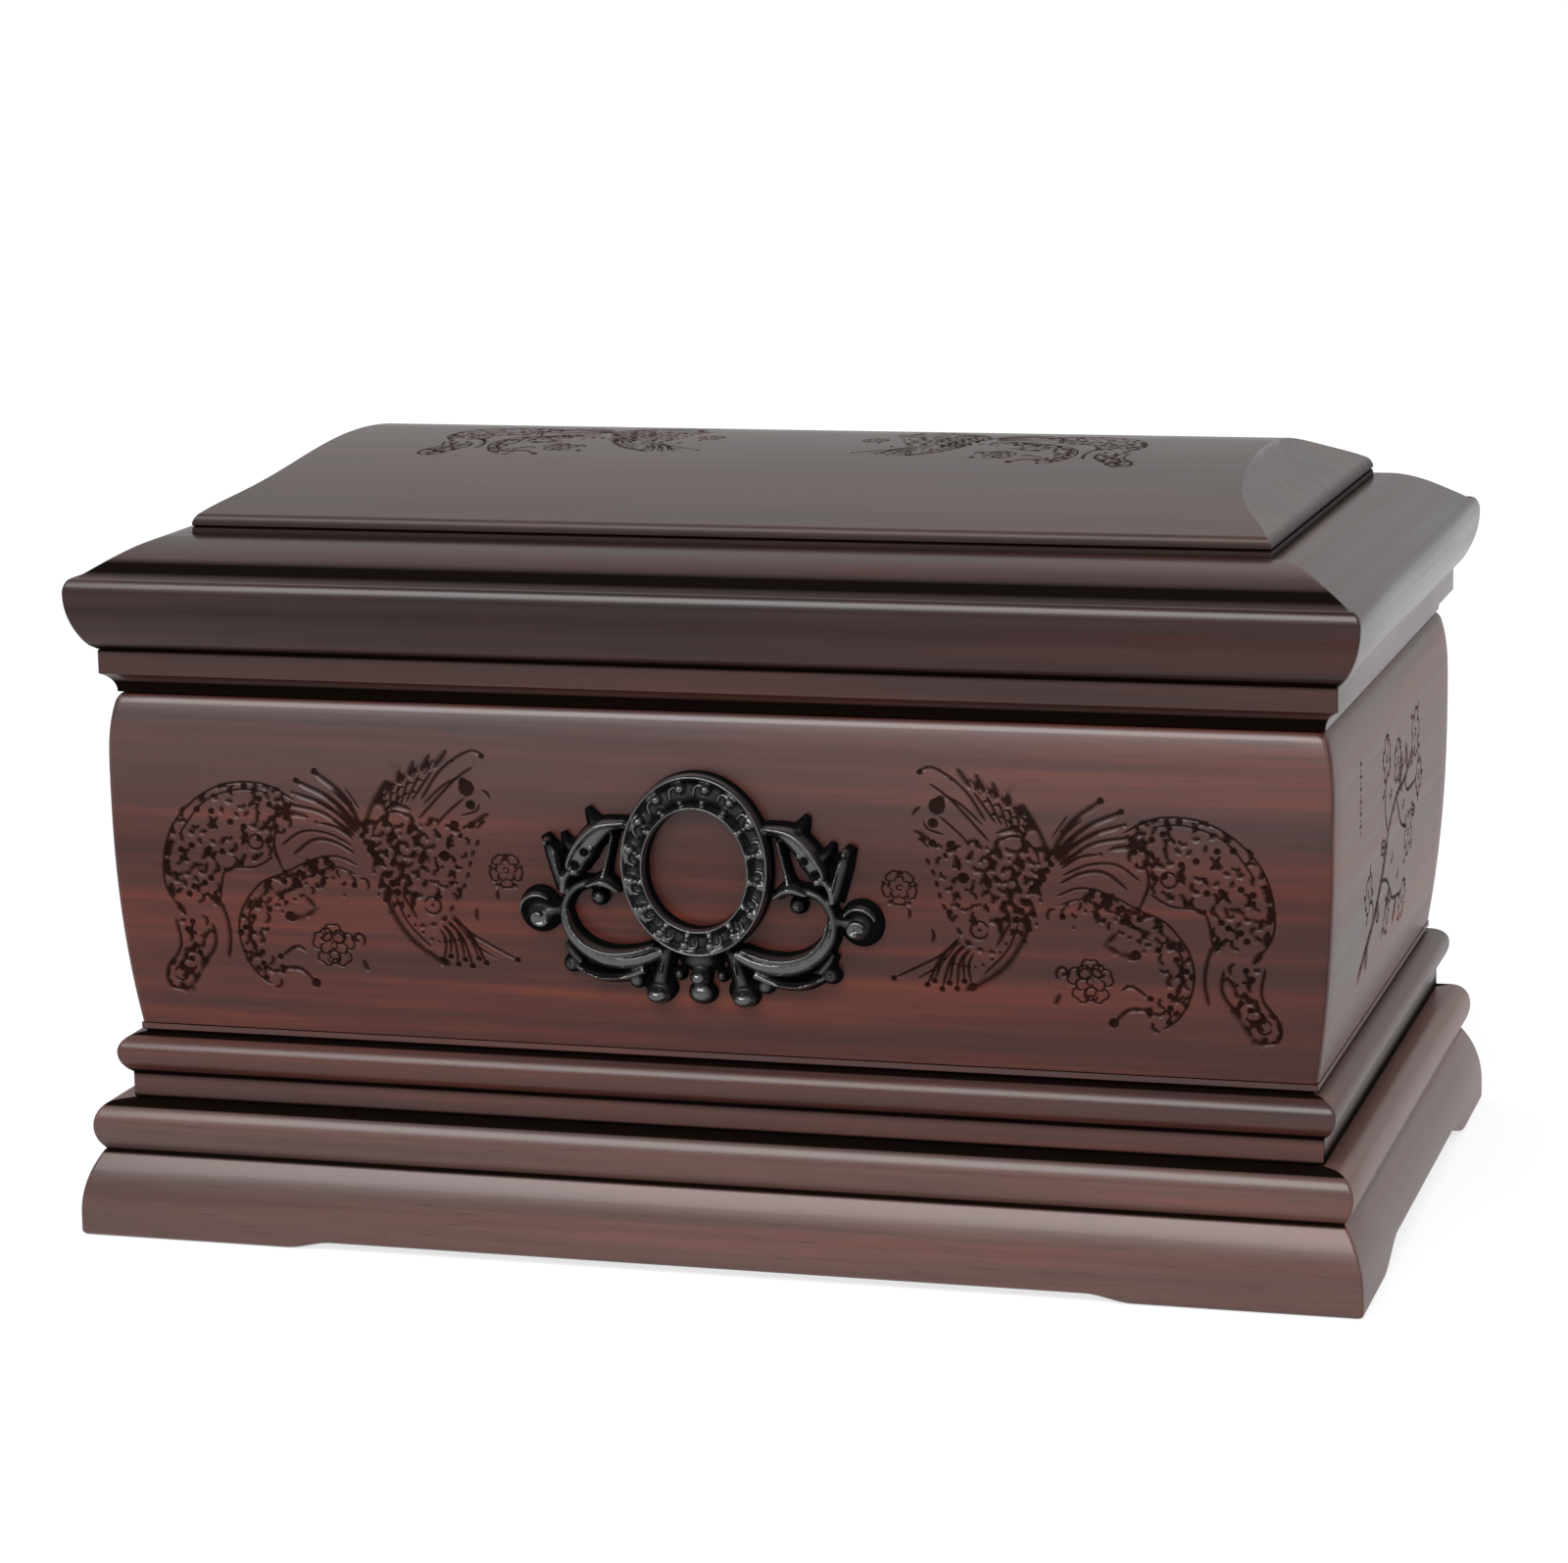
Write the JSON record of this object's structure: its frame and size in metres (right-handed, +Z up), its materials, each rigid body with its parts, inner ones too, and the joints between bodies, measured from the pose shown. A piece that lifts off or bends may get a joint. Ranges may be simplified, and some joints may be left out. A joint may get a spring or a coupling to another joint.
{
  "type": "cremation urn",
  "caption": "Rectangular wooden urn box on a moulded plinth with bracket feet, swelling engraved walls, a lift-off arched lid and a black oval frame ornament on its front.",
  "frame": {"origin": "centre of the footprint at the level of the feet", "axes": "+X along the length towards the right-hand end, +Y from the front to the back, +Z up; the ornament faces -Y"},
  "size_m": [0.33, 0.208, 0.1953],
  "materials": {
    "plinth_wood": "dark rosewood stain under satin lacquer",
    "waist_wood": "dark rosewood stain under satin lacquer",
    "body_wood": "reddish rosewood stain under satin lacquer, engraved lines darker",
    "neck_wood": "dark rosewood stain under satin lacquer",
    "lid_wood": "dark reddish rosewood stain under satin lacquer",
    "crown_wood": "dark rosewood stain under satin lacquer",
    "bottom_wood": "plain stained board",
    "ornament_black": "glossy black cast ornament"
  },
  "bodies": {
    "root": {"plinth_front": "plinth_wood", "plinth_back": "plinth_wood", "plinth_left": "plinth_wood", "plinth_right": "plinth_wood", "waist_front": "waist_wood", "waist_back": "waist_wood", "waist_left": "waist_wood", "waist_right": "waist_wood", "body_front": "body_wood", "body_back": "body_wood", "body_left": "body_wood", "body_right": "body_wood", "neck_front": "neck_wood", "neck_back": "neck_wood", "neck_left": "neck_wood", "neck_right": "neck_wood", "bottom_board": "bottom_wood", "lid_rail_front": "lid_wood", "lid_rail_back": "lid_wood", "lid_rail_left": "lid_wood", "lid_rail_right": "lid_wood", "crown_panel": "crown_wood", "ornament_frame": "ornament_black"}
  },
  "joints": []
}
